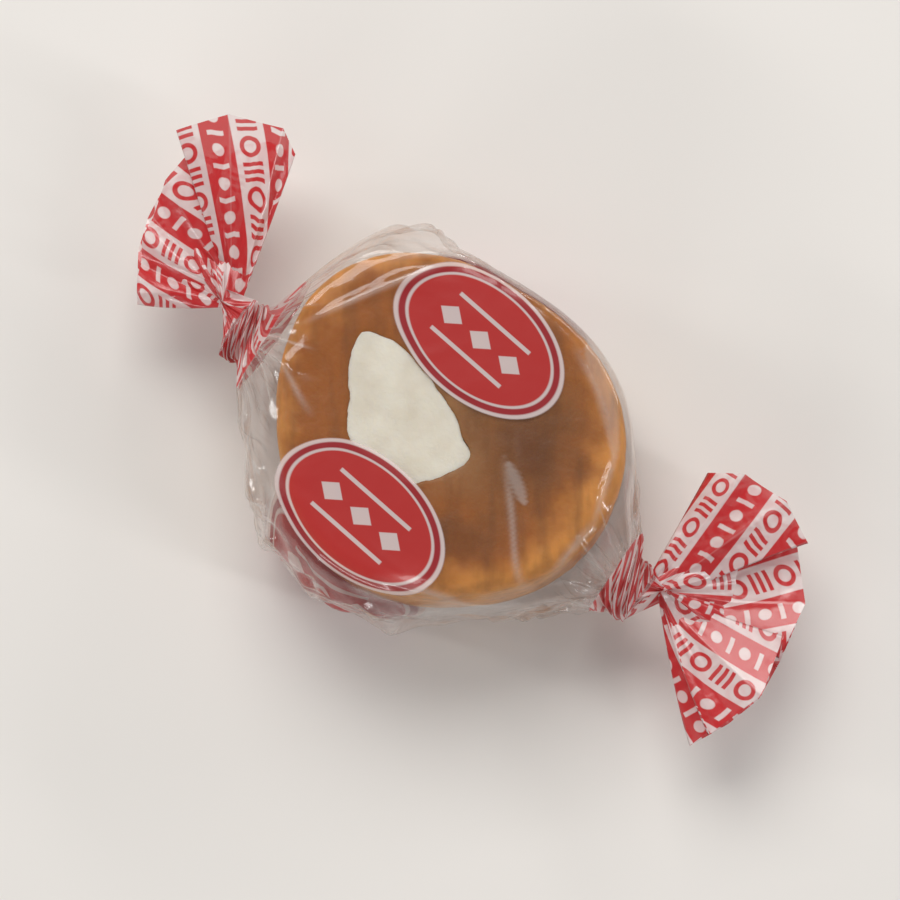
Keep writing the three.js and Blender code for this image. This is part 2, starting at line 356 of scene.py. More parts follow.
def addForm():  # what the film is drawn over: the caramel with some slack, and a ring at each twist
    clearSelection()
    shape, ear = filmShape, filmShape["ear"]
    low, high = bottomHeight - shape["clearance"], topHeight + shape["clearance"]
    rings = [(low + rise, inset) for rise, inset in shape["shoulder"]] + [(middleHeight, 0.0)]
    rings += [(high - rise, inset) for rise, inset in reversed(shape["shoulder"])]
    made = []
    for height, inset in rings:
        ring, angle = newRing(shape["formSides"])
        away = (height - middleHeight) / (middleHeight - low)
        belly = 1 - abs(away) ** 2.2
        toSag = np.maximum(0, np.cos(angle - math.radians(shape["sagDirection"]))) ** 1.5
        slack = shape["rimSlack"] * (1 - away**4) + shape["sideSag"] * toSag * belly
        radius = caramelRadius(angle) + shape["edgeGap"] - inset + slack
        x, y = radius * np.cos(angle), radius * np.sin(angle)
        nearEar = np.exp(-(((-x - ear["reach"]) / ear["spread"]) ** 2))
        y += ear["depth"] * nearEar * smoothStep(y, *ear["side"]) * belly
        movePoints(ring, np.column_stack([x, y, np.full(len(angle), height)]))
        made.append(ring)
    for end in (-1, 1):
        for reach in (shape["neckStart"], shape["neckStart"] + 0.4):
            ring, angle = newRing(shape["neckSides"])
            y = shape["neckRadius"] * np.cos(angle) - shape["neckSag"]
            z = shape["neckRadius"] * np.sin(angle) + middleHeight
            movePoints(ring, np.column_stack([np.full(len(angle), end * reach), y, z]))
            made.append(ring)
    clearSelection()
    for ring in made:
        ring.select_set(True)
    bpy.context.view_layer.objects.active = made[0]
    bpy.ops.object.join()
    form = bpy.context.object
    form.name = "wrapForm"
    bpy.ops.object.mode_set(mode="EDIT")
    bpy.ops.mesh.select_all(action="SELECT")
    bpy.ops.mesh.convex_hull()
    bpy.ops.object.mode_set(mode="OBJECT")
    return form


def tubeAxis(x):  # the tube's middle sags to the -Y side towards the twists
    return -filmShape["neckSag"] * smoothStep(abs(x), filmShape["neckSagFrom"], filmShape["neckStart"])


def halfSections(edges, x):  # from top centre to bottom centre, down the +Y side and down the -Y side
    a, b = edges[:, 0], edges[:, 1]
    crosses = (a[:, 0] - x) * (b[:, 0] - x) < 0
    a, b = a[crosses], b[crosses]
    t = (x - a[:, 0]) / (b[:, 0] - a[:, 0])
    points = a[:, 1:] + (b[:, 1:] - a[:, 1:]) * t[:, None]
    axis = tubeAxis(x)
    around = np.mod(math.pi / 2 - np.arctan2(points[:, 1] - middleHeight, points[:, 0] - axis), 2 * math.pi)
    points = points[np.argsort(around)]
    around = np.sort(around)

    def crossing(p, q):
        return p + (q - p) * (axis - p[0]) / (q[0] - p[0])

    top = crossing(points[-1], points[0])
    last = np.searchsorted(around, math.pi)
    bottom = crossing(points[last - 1], points[last])
    plus = np.vstack([top, points[:last], bottom])
    minus = np.vstack([top, points[last:][::-1], bottom])
    return plus, minus


def squeezed(flat, half, room, nearNeck):  # where a point of the flat film lies on a shorter section
    share = room / half
    keep = filmShape["flatShare"]
    slope = min(1 + (share - 1) * nearNeck, (share - 0.3 * (1 - keep) * share) / keep)
    rest = (share - slope * keep) / (1 - keep)
    t = flat / half
    return half * np.where(t < keep, slope * t, slope * keep + rest * (t - keep))


def wrapBody(edges, flat, halfPlus, halfMinus):  # one row of points for each section of the tube
    neckStart = filmShape["neckStart"]
    stations = np.concatenate([np.arange(0, neckStart, filmShape["bodyStep"]),
                               np.arange(neckStart, filmShape["neckEnd"] + 0.01, filmShape["neckStep"])])
    bodyX = np.concatenate([-stations[::-1], stations[1:]]) + 0.0
    place = np.zeros((len(bodyX), len(flat), 3))
    across = np.abs(flat)
    for r, x in enumerate(bodyX):
        at = x if abs(x) > 0.01 else nearMiddle
        plus, minus = halfSections(edges, np.sign(at) * min(abs(at), neckStart + 0.2))
        plusLength, minusLength = chainLength(plus), chainLength(minus)
        nearNeck = float(smoothStep(abs(x), *filmShape["gather"]))
        plusAt = squeezed(across.clip(0, halfPlus), halfPlus, plusLength[-1], nearNeck)
        minusAt = squeezed(across.clip(0, halfMinus), halfMinus, minusLength[-1], nearNeck)
        underAt = minusLength[-1] * (1 - (flat - halfPlus).clip(0) / halfMinus)
        onPlus, onMinus = along(plus, plusLength, plusAt), along(minus, minusLength, minusAt)
        yz = np.where((flat >= 0)[:, None], onPlus, onMinus)
        yz = np.where((flat > halfPlus)[:, None], along(minus, minusLength, underAt), yz)
        place[r] = np.column_stack([np.full(len(flat), x), yz])
    return bodyX, place


def outwardNormals(bodyX, place):  # in each section, and how far its columns are apart
    normal = np.zeros_like(place)
    tangent = np.gradient(place[:, :, 1:], axis=1)
    spacing = np.linalg.norm(tangent, axis=2, keepdims=True).clip(1e-9)
    tangent = tangent / spacing
    normal[:, :, 1], normal[:, :, 2] = tangent[:, :, 1], -tangent[:, :, 0]
    centre = np.array([[tubeAxis(x), middleHeight] for x in bodyX])
    away = place[:, :, 1:] - centre[:, None, :]
    return normal * np.sign((normal[:, :, 1:] * away).sum(2).mean()), spacing[:, :, 0]


def zigzagKnots(rng, flat, low, high):  # columns at uneven distances apart, at which the film folds
    knots = [0]
    while flat[knots[-1]] < flat[-1] - high:
        knots.append(int(np.searchsorted(flat, flat[knots[-1]] + rng.uniform(low, high))))
    return np.array(knots + [len(flat) - 1])


def gatherPleats(bodyX, flat, stretch):  # from where the film leaves the caramel, into each twist
    lift, wearAndSheen = np.zeros_like(stretch), np.zeros_like(stretch)
    lower, *neck = filmFolds["pleatNeck"]
    for end, seed in filmFolds["pleatSeed"].items():
        rng = np.random.default_rng(seed)
        side = np.abs(bodyX) * (np.sign(bodyX) == end)
        for low, high, starts, tallest, full in filmFolds["pleats"]:
            knots = zigzagKnots(rng, flat, low, high)
            span = np.gradient(flat[knots])
            sign = np.where(np.arange(len(knots)) % 2 == 0, 1.0, -1.0)
            strength = rng.uniform(0.55, 1.0, len(knots))
            begin = rng.uniform(*starts, len(knots))
            for r in np.nonzero(side > min(starts))[0]:
                x = side[r]
                squeeze = np.sqrt(np.clip(1 - stretch[r, knots].clip(0, 1) ** 2, 0, 1))
                tall = np.minimum(span * squeeze, tallest * (1 - lower * smoothStep(x, *neck)))
                grown = ((x - begin) / (full - begin)).clip(0, 1)
                inward = float(smoothStep(x, *filmFolds["pleatInward"]))
                fold = (sign * strength + 1 - inward) * tall * grown / 2
                lift[r] += np.interp(np.arange(len(flat)), knots, fold)
                wearAndSheen[r, knots] = np.maximum(wearAndSheen[r, knots], strength * smoothStep(grown, 0, 0.5))
    return lift, wearAndSheen


def tents(rng, kind, vRange, u, v):  # straight creases: each is a ridge with two slopes of unequal width
    count, length, width, height, tilt = filmFolds[kind]
    uRange = (float(u.min()), float(u.max()))
    total, marks = np.zeros_like(u), np.zeros_like(u)
    for _ in range(count):
        cu, cv = rng.uniform(*uRange), rng.uniform(*vRange)
        turn = rng.normal(0, tilt)
        du, dv = u - cu, v - cv
        t = du * math.cos(turn) + dv * math.sin(turn)
        d = -du * math.sin(turn) + dv * math.cos(turn)
        left, right = rng.uniform(*width, 2)
        taper = (1 - abs(t) / (rng.uniform(*length) / 2)).clip(0)
        tall = rng.uniform(*height)
        ridge = np.where(d < 0, 1 + d / left, 1 - d / right).clip(0) * taper
        total += tall * np.minimum(ridge, 0.85)
        sharp = smoothStep(tall * (1 / left + 1 / right) * taper, 0.12, 1.0)
        marks = np.maximum(marks, sharp * np.exp(-((d / filmFolds["markWidth"]) ** 2)))
    return total, marks


def crossLine(u, v, u1, v1, u2, v2):  # how far along a line each point is, from 0 to 1, and how far off it
    length = math.hypot(u2 - u1, v2 - v1)
    t = ((u - u1) * (u2 - u1) + (v - v1) * (v2 - v1)) / length**2
    return t, np.abs((u - u1) * (v2 - v1) - (v - v1) * (u2 - u1)) / length


def pressCreases(bodyX, flat, place):  # few where the film lies flat on the caramel, many where it stands off
    rng = np.random.default_rng(filmFolds["creaseSeed"])
    u, v = np.repeat(bodyX[:, None], len(flat), 1), np.repeat(flat[None, :], len(bodyX), 0)
    whole = (flat[0], flat[-1])
    fromMiddle = np.hypot(place[:, :, 0], place[:, :, 1])
    standsOff = fromMiddle - caramelRadius(np.arctan2(place[:, :, 1], place[:, :, 0]))
    standsOff = np.maximum(np.maximum(standsOff, place[:, :, 2] - topHeight), bottomHeight - place[:, :, 2])
    loose = smoothStep(standsOff, *filmFolds["looseFrom"])
    fainter, face, fade = filmFolds["calm"]
    calm = 1 - fainter * smoothStep(face - fromMiddle, 0, fade)
    kinds = ("broad", "small", "looseOut", "looseIn")
    (broad, small, out, back), marks = zip(*(tents(rng, kind, whole, u, v) for kind in kinds))
    creases = (broad + small) * calm + np.maximum(out - back, -0.7 * standsOff.clip(0)) * loose
    wearAndSheen = np.maximum(np.maximum(*marks[:2]) * calm, np.maximum(*marks[2:]) * loose)
    for *line, wide, tall in filmFolds["long"]:
        t, d = crossLine(u, v, *line)
        taper = (3 * np.minimum(t, 1 - t)).clip(0, 1)
        creases += tall * (1 - d / (wide * (0.35 + 0.65 * taper))).clip(0) * taper
        wearAndSheen = np.maximum(wearAndSheen, filmFolds["longMark"] * taper * np.exp(-((d / filmFolds["markWidth"]) ** 2)))
    # painted reflections: milky patches laid into the crease marks
    for *line, wide, strength in filmFolds["paintedSheenPatches"]:
        t, d = crossLine(u, v, *line)
        halfWidth = wide * np.sqrt((4 * t * (1 - t)).clip(1e-6))
        wearAndSheen = np.maximum(wearAndSheen, strength * smoothStep(1 - d / halfWidth, 0, 0.5))
    fainter, *neck = filmFolds["creaseNeck"]
    return creases * (1 - fainter * smoothStep(np.abs(u), *neck)), wearAndSheen, loose


def twistNecks(bodyX, place):  # an even start and end to each twist
    past = filmShape["neckEnd"] + filmShape["twistPast"]
    for r, x in enumerate(bodyX):
        low = filmShape["twistFrom"][1 if x > 0 else -1]
        t = np.clip((abs(x) - low) / (past - low), 0, 1)
        turn = np.sign(x) * math.radians(filmShape["twist"]) * t**3 * (t * (6 * t - 15) + 10)
        if turn == 0:
            continue
        y, z = place[r, :, 1] + filmShape["neckSag"], place[r, :, 2] - middleHeight
        place[r, :, 1] = y * math.cos(turn) - z * math.sin(turn) - filmShape["neckSag"]
        place[r, :, 2] = y * math.sin(turn) + z * math.cos(turn) + middleHeight


def fanRays(fan, flat, girth):
    # for each column: its place on the cut edge, its panel and the share of it, its sheet (the panels between
    # two sharp folds) and its place across that sheet
    turn, reach, height = np.array(fan["corners"], float).T
    turn = np.radians(turn)
    places = np.column_stack([reach * np.cos(turn), reach * np.sin(turn), height])
    closed = np.vstack([places, places[:1]])
    widths = np.linalg.norm(np.diff(closed, axis=0), axis=1)
    faces = np.cross(closed[:-1], closed[1:])
    faces /= np.linalg.norm(faces, axis=1, keepdims=True)
    sharp = (faces * np.roll(faces, 1, axis=0)).sum(1) < foldIsSharp
    stops = np.concatenate([[0], np.cumsum(widths)]) / widths.sum()
    share = (flat - flat[0]) / girth
    wraps = int(share[-1]) + 1
    allStops = np.concatenate([stops[:-1] + wrap for wrap in range(wraps)])
    allStops = allStops[allStops <= share[-1]]
    folds = np.array([int(np.argmin(abs(share - stop))) for stop in allStops])
    column = np.arange(len(flat))
    snapped = np.interp(column, np.append(folds, len(flat) - 1), np.append(allStops, share[-1]))
    edge = np.column_stack([np.interp(np.mod(snapped, 1.0), stops, closed[:, k]) for k in range(3)])
    panel = np.searchsorted(folds, column, side="right") - 1
    inPanel = (snapped - allStops[panel]) / (widths / widths.sum())[panel % len(widths)]
    sheet, before = np.zeros(len(allStops), int), np.zeros(len(allStops))
    for k in range(1, len(allStops)):
        fresh = sharp[k % len(widths)]
        sheet[k] = sheet[k - 1] + fresh
        before[k] = 0 if fresh else before[k - 1] + widths[(k - 1) % len(widths)]
    ends = before + widths[np.arange(len(allStops)) % len(widths)]
    sheetWidth = np.array([ends[sheet == k].max() for k in range(sheet[-1] + 1)])
    across = before[panel] + inPanel * widths[panel % len(widths)]
    return edge, panel, inPanel, folds, sheet[panel], across, ends[panel], sheetWidth


def openFan(fan, flat, girth, root):  # rows from the twist's end, the root, out to the cut edge
    end = fan["end"]
    rng = np.random.default_rng(fan["seed"])
    edge, panel, inPanel, folds, sheet, across, panelEnd, sheetWidth = fanRays(fan, flat, girth)
    edge = edge + np.array([end * filmShape["fanApex"], -filmShape["neckSag"], middleHeight])
    neckCentre = np.array([end * filmShape["neckEnd"], -filmShape["neckSag"], middleHeight])
    reach = np.linalg.norm(edge - root, axis=1)
    count = int(math.ceil(reach.max() / filmShape["fanStep"]))
    place = np.zeros((count, len(flat), 3))
    u, left, right = (np.zeros((count, len(flat))) for _ in range(3))
    corners = len(fan["corners"])
    puff = (rng.uniform(0.4, 1.0, corners) * rng.choice([-1, 1], corners) * fan["bulge"])[panel % corners]
    middles = np.array([flat[sheet == k].mean() for k in range(len(sheetWidth))])
    lastSheet, lastEnd = np.roll(sheet, 1), np.roll(panelEnd, 1)
    starts = panel != np.roll(panel, 1)
    for r, s in enumerate(np.linspace(0, 1, count + 1)[1:]):
        ring = neckCentre + (root - neckCentre) * (1 - s) ** 0.6
        place[r] = ring * (1 - s) + edge * s
        place[r, :, 2] += puff * np.sin(math.pi * inPanel) * s * (0.6 + 0.4 * s)
        u[r] = end * (filmShape["fanPrintStart"] + s * reach)
        spread = s + (1 - s) * filmShape["neckWidth"] / sheetWidth  # each sheet widens to its cut edge
        left[r] = middles[sheet] + (across - sheetWidth[sheet] / 2) * spread[sheet]
        closing = middles[lastSheet] + (lastEnd - sheetWidth[lastSheet] / 2) * spread[lastSheet]
        right[r] = np.where(starts, closing, left[r])
    v = np.repeat(flat[None, :], count, 0)
    crush, wearAndSheen = tents(rng, "fan", (flat[0], flat[-1]), np.abs(u), v)
    place[:, :, 2] += crush * rng.choice([-1, 1])
    wearAndSheen[:, folds] = np.maximum(wearAndSheen[:, folds], filmFolds["fanMark"])
    return place, u, left, right, wearAndSheen, np.full_like(u, 0.5)


def laySheet(place, u, left, right, wearAndSheen, loose):  # one grid of faces, with its print, its wear and its painted sheen
    rows, columns = u.shape
    clearSelection()
    bpy.ops.mesh.primitive_grid_add(x_subdivisions=columns - 1, y_subdivisions=rows - 1, size=1,
                                    calc_uvs=False)
    film = bpy.context.object
    film.name = "filmSheet"
    start = meshPoints(film) * mm
    column = np.rint((start[:, 0] + 0.5) * (columns - 1)).astype(int)
    row = np.rint((start[:, 1] + 0.5) * (rows - 1)).astype(int)
    movePoints(film, place[row, column])

    loopVertex = np.empty(len(film.data.loops), int)
    film.data.loops.foreach_get("vertex_index", loopVertex)
    loopColumn, loopRow = column[loopVertex], row[loopVertex]
    onLeft = loopColumn == np.repeat(loopColumn.reshape(-1, 4).min(1), 4)
    v = np.where(onLeft, left[loopRow, loopColumn], right[loopRow, loopColumn])
    layer = film.data.uv_layers.new(name="filmPrint")
    layer.data.foreach_set("uv", np.column_stack([u[loopRow, loopColumn], v]).ravel())
    for name, values in (("filmCreaseAndSheen", wearAndSheen), ("filmLoose", loose)):
        marks = film.data.attributes.new(name, "FLOAT", "POINT")
        marks.data.foreach_set("value", values[row, column].astype(np.float32))
    return film


def makeFilm():
    form = addForm()
    points = meshPoints(form)
    edges = np.array([[points[e.vertices[0]], points[e.vertices[1]]] for e in form.data.edges])
    bpy.data.objects.remove(form)
    print("film form drawn")

    sides = halfSections(edges, nearMiddle)
    halfPlus, halfMinus = (chainLength(side)[-1] + filmShape["spare"] for side in sides)
    girth = halfPlus + halfMinus
    flat = np.linspace(-halfMinus, halfPlus + filmShape["overlap"], filmShape["columns"])
    bodyX, place = wrapBody(edges, flat, halfPlus, halfMinus)
    normal, spacing = outwardNormals(bodyX, place)
    lift, pleatWearAndSheen = gatherPleats(bodyX, flat, spacing / (flat[1] - flat[0]))
    creases, creaseWearAndSheen, loose = pressCreases(bodyX, flat, place)
    lapped = smoothStep(flat, halfPlus - 0.5, halfPlus + 0.5)
    lift += creases + lapped[None, :] * filmShape["overlapGap"]
    place += normal * lift[:, :, None]
    twistNecks(bodyX, place)
    place[:, :, 2] = np.maximum(place[:, :, 2], filmShape["leastHeight"])
    print("film wrapped and twisted")

    reach = np.abs(bodyX)
    slopeFrom, slope = filmShape["stripeSlope"]
    printX = np.sign(bodyX) * (np.minimum(reach, slopeFrom) + slope * np.maximum(0, reach - slopeFrom))
    inSight = 1 - (1 - filmShape["neckPrint"]) * smoothStep(reach, *filmShape["neckPrintFrom"])
    u, v = np.repeat(printX[:, None], len(flat), 1), flat[None, :] * inSight[:, None]
    body = (place, u, v, v, np.maximum(pleatWearAndSheen, creaseWearAndSheen), loose)
    narrow = openFan(narrowFan, flat, girth, place[0])
    wide = openFan(wideFan, flat, girth, place[-1])
    film = laySheet(*(np.concatenate([n[::-1], b, w]) for n, b, w in zip(narrow, body, wide)))
    print("film sheet", len(film.data.polygons), "faces, girth", round(girth, 1), "mm")

    selectOnly(film)
    bpy.ops.object.mode_set(mode="EDIT")
    bpy.ops.mesh.select_all(action="SELECT")
    bpy.ops.mesh.flip_normals()  # the grid's columns run the other way round the candy
    bpy.ops.object.mode_set(mode="OBJECT")
    bpy.ops.object.shade_smooth()
    return film


# materials

def newMaterial(name):
    material = bpy.data.materials.new(name)
    material.use_nodes = True
    material.node_tree.nodes.clear()
    return material, material.node_tree


def feed(tree, socket, given):  # a number or a colour is set, another node's output is linked
    if isinstance(given, (int, float, tuple)):
        socket.default_value = given
    else:
        tree.links.new(given, socket)


def addNode(tree, kind, inputs=None, **settings):
    node = tree.nodes.new(kind)
    for key, value in settings.items():
        setattr(node, key, value)
    for socket, given in (inputs or {}).items():
        feed(tree, node.inputs[socket], given)
    return node


def mathNode(tree, operation, *given, clamp=False):
    numbers = dict(enumerate(given))
    return addNode(tree, "ShaderNodeMath", numbers, operation=operation, use_clamp=clamp).outputs[0]


def mixColours(tree, amount, first, second):
    return addNode(tree, "ShaderNodeMix", {0: amount, 6: first, 7: second}, data_type="RGBA").outputs[2]


def mixShaders(tree, amount, first, second):
    return addNode(tree, "ShaderNodeMixShader", {0: amount, 1: first, 2: second}).outputs[0]


def finishMaterial(tree, surface):
    addNode(tree, "ShaderNodeOutputMaterial", {"Surface": surface})


def srgb(r, g, b):  # 0-255 as seen, to the linear values that a shader takes
    def linear(c):
        c /= 255
        return c / 12.92 if c <= 0.04045 else ((c + 0.055) / 1.055) ** 2.4
    return (linear(r), linear(g), linear(b), 1)


def buildMottle():  # soft cloudy variation, and a finer grain for bump
    group = bpy.data.node_groups.new("softMottle", "ShaderNodeTree")
    for name in ("Cloud", "Grain"):
        group.interface.new_socket(name + " Size", in_out="INPUT", socket_type="NodeSocketFloat")
        group.interface.new_socket(name, in_out="OUTPUT", socket_type="NodeSocketFloat")
    given, out = addNode(group, "NodeGroupInput"), addNode(group, "NodeGroupOutput")
    place = addNode(group, "ShaderNodeTexCoord").outputs["Object"]
    for name, detail in (("Cloud", 3), ("Grain", 4)):
        size = given.outputs[name + " Size"]
        noise = addNode(group, "ShaderNodeTexNoise", {"Vector": place, "Scale": size, "Detail": detail})
        group.links.new(noise.outputs["Fac"], out.inputs[name])
    return group


mottle = buildMottle()


def addMottle(tree, cloud, grain=2500):
    node = addNode(tree, "ShaderNodeGroup", {"Cloud Size": cloud, "Grain Size": grain}, node_tree=mottle)
    return node.outputs["Cloud"], node.outputs["Grain"]


def addSoftSurface(tree, finish, colour, grain, height):  # a waxy body with light in it, and a fine grain
    rough = mathNode(tree, "MULTIPLY_ADD", grain, *finish["roughness"])
    bump = addNode(tree, "ShaderNodeBump", {"Height": height, **finish["bump"]}).outputs[0]
    surface = {"Base Color": colour, "Roughness": rough, "Normal": bump, **finish["wax"]}
    return addNode(tree, "ShaderNodeBsdfPrincipled", surface).outputs[0]


caramelFinish = {
    "mottle": (260, 2600),
    "unevenness": 6.0,  # mm, of every colour's edge
    "middleSpot": (3.0, 2.0),  # mm, where the caramel is dullest
    "middleFrom": 2.5,
    "middleTo": 10.0,
    "rimSpot": (-1.3, 0.2),  # about the middle of the outline
    "rimFrom": 10.8,  # painted glow: from here outwards the colour turns to the rim colour, standing in for light that comes through the caramel's edge
    "rimTo": 14.0,
    "rimShare": 0.82,
    "middle": srgb(139, 87, 38),
    "body": srgb(157, 89, 24),
    # painted glow: the colour of light coming through the caramel's edge
    "rim": srgb(219, 151, 73),
    # soft-edged darker and paler patches inside: place, reach, share and colour
    "patches": [((6.0, 2.3), 4.8, 0.8, srgb(104, 56, 16)), ((5.0, -7.2), 3.4, 0.55, srgb(104, 56, 16)),
                ((1.2, -2.2), 3.6, 0.2, srgb(205, 165, 120)), ((-0.8, 1.8), 3.0, 0.2, srgb(205, 165, 120))],
    "streak": srgb(96, 56, 22),
    "streakSize": 850.0,
    "streakLength": 4.5,
    "streakTurn": 124,  # degrees in plan
    "streakShare": (1.4, -0.58),
    "streakBump": 0.8,
    "wax": {"Specular IOR Level": 0.22, "Subsurface Weight": 0.35, "Subsurface Radius": (1.0, 0.45, 0.15),
            "Subsurface Scale": 2.2 * mm},
    "roughness": (0.25, 0.32),  # how much by the grain, and everywhere
    "bump": {"Strength": 0.35, "Distance": 0.12 * mm},
}


def makeCaramelMaterial():
    material, tree = newMaterial("caramelToffee")
    finish = caramelFinish
    place = addNode(tree, "ShaderNodeTexCoord").outputs["Object"]
    split = addNode(tree, "ShaderNodeSeparateXYZ", {0: place}).outputs
    cloud, grain = addMottle(tree, *finish["mottle"])
    uneven = mathNode(tree, "MULTIPLY_ADD", cloud, finish["unevenness"], -finish["unevenness"] / 2)

    def farFrom(spot):  # in mm, made uneven by the mottle
        x, y = (mathNode(tree, "MULTIPLY_ADD", split[k], 1 / mm, -spot[k]) for k in (0, 1))
        squares = mathNode(tree, "MULTIPLY_ADD", x, x, mathNode(tree, "MULTIPLY", y, y))
        return mathNode(tree, "ADD", mathNode(tree, "SQRT", squares), uneven)

    def within(distance, low, high, share):  # from 0 at low to share at high
        limits = {"Value": distance, "From Min": low, "From Max": high, "To Min": 0, "To Max": share}
        return addNode(tree, "ShaderNodeMapRange", limits, interpolation_type="SMOOTHSTEP").outputs[0]

    outwards = within(farFrom(finish["middleSpot"]), finish["middleFrom"], finish["middleTo"], 1)
    colour = mixColours(tree, outwards, finish["middle"], finish["body"])
    for spot, reach, share, tint in finish["patches"]:
        amount = mathNode(tree, "SUBTRACT", share, within(farFrom(spot), 0, reach, share))
        colour = mixColours(tree, amount, colour, tint)
    # painted glow near the outline, for light that comes through the caramel
    paintedRimGlow = within(farFrom(finish["rimSpot"]), finish["rimFrom"], finish["rimTo"], finish["rimShare"])
    colour = mixColours(tree, paintedRimGlow, colour, finish["rim"])

    drawnOut = addNode(tree, "ShaderNodeMapping",
                       {"Vector": place, "Scale": (finish["streakLength"], 1, 1),
                        "Rotation": (0, 0, math.radians(finish["streakTurn"]))}, vector_type="TEXTURE")
    streaks = addNode(tree, "ShaderNodeTexNoise", {"Vector": drawnOut.outputs[0], "Detail": 3.0,
                                                   "Scale": finish["streakSize"]}).outputs["Fac"]
    shade = mathNode(tree, "MULTIPLY_ADD", streaks, *finish["streakShare"], clamp=True)
    colour = mixColours(tree, shade, colour, finish["streak"])
    height = mathNode(tree, "ADD", grain, mathNode(tree, "MULTIPLY", streaks, finish["streakBump"]))
    finishMaterial(tree, addSoftSurface(tree, finish, colour, grain, height))
    return material


creamFinish = {
    "mottle": (420, 3600),
    "light": srgb(231, 226, 212),
    "dark": srgb(217, 208, 190),
    "contrast": (2.2, -0.6),
    "wax": {"Subsurface Weight": 0.3, "Subsurface Radius": (1.0, 0.8, 0.5), "Subsurface Scale": 1.5 * mm},
    "roughness": (0.2, 0.45),
    "bump": {"Strength": 0.3, "Distance": 0.1 * mm},
}


def makeCreamMaterial():
    material, tree = newMaterial("creamFondant")
    cloud, grain = addMottle(tree, *creamFinish["mottle"])
    sharper = mathNode(tree, "MULTIPLY_ADD", cloud, *creamFinish["contrast"], clamp=True)
    colour = mixColours(tree, sharper, creamFinish["light"], creamFinish["dark"])
    finishMaterial(tree, addSoftSurface(tree, creamFinish, colour, grain, grain))
    return material


filmPrint = {  # mm on the flat sheet
    "labelCentre": (-2.2, 6.9),
    "labelPitch": 16.7,
    "labelTurn": 7.5,
    "labelHalf": (7.65, 4.85),
    "labelRimFrom": 0.95,  # share of the half sizes
    "labelReach": 12.0,
    "innerHalf": (6.6, 4.05),
    "innerLine": 0.02,
    "gemPitch": 3.0,
    "gemHalf": (1.1, 0.85),
    "gemsReach": 4.4,
    "barFrom": 1.75,
    "barHalf": (3.6, 0.16),
    "stripeFrom": 18.2,
    "stripePitch": 5.5,
    "stripeAngle": 13,
    "ringPitch": 4.2,
    "ringRadius": 0.7,
    "ringHalf": 0.19,
    "tickPitch": 0.63,
    "tickHalf": (0.17, 0.86),
    "dotPitch": 2.8,
    "dotRadius": 0.52,
    "dashHalf": (0.2, 0.72),
    "red": srgb(206, 40, 44),
    "white": srgb(240, 224, 222),
    "labelRed": srgb(200, 52, 50),
    "labelRing": srgb(168, 40, 48),
    "coverRed": (0.9, 0.9, 0.9, 1),  # how much each ink hides
    "coverWhite": (0.76, 0.76, 0.76, 1),
}

filmFinish = {
    "facets": ((2.6, 1.0), (1.0, 0.35)),  # size in mm and share
    "facetShare": (0.9, 0.1),  # by how loose the film is, and everywhere
    "bump": {"Strength": 0.8, "Distance": 0.16 * mm},
    "ink": {"Roughness": 0.3, "Coat Weight": 0.6, "Coat Roughness": 0.08},
    "inkThrough": 0.25,
    "inkWearAndSheen": 0.22,
    "clear": {"Color": (0.97, 0.965, 0.96, 1)},
    "milk": {"Base Color": srgb(212, 204, 199), "Roughness": 0.35},
    "milkShare": (0.3, 0.015),  # seen edge on, and everywhere
    "milkOnCreases": 0.34,
    "milkPatches": (0.3, -0.11),
    "patchSize": 170,
    "gloss": {"Color": (1, 1, 1, 1), "Roughness": 0.13},
    "glossShare": (0.7, 0.042),  # seen edge on, and everywhere
}


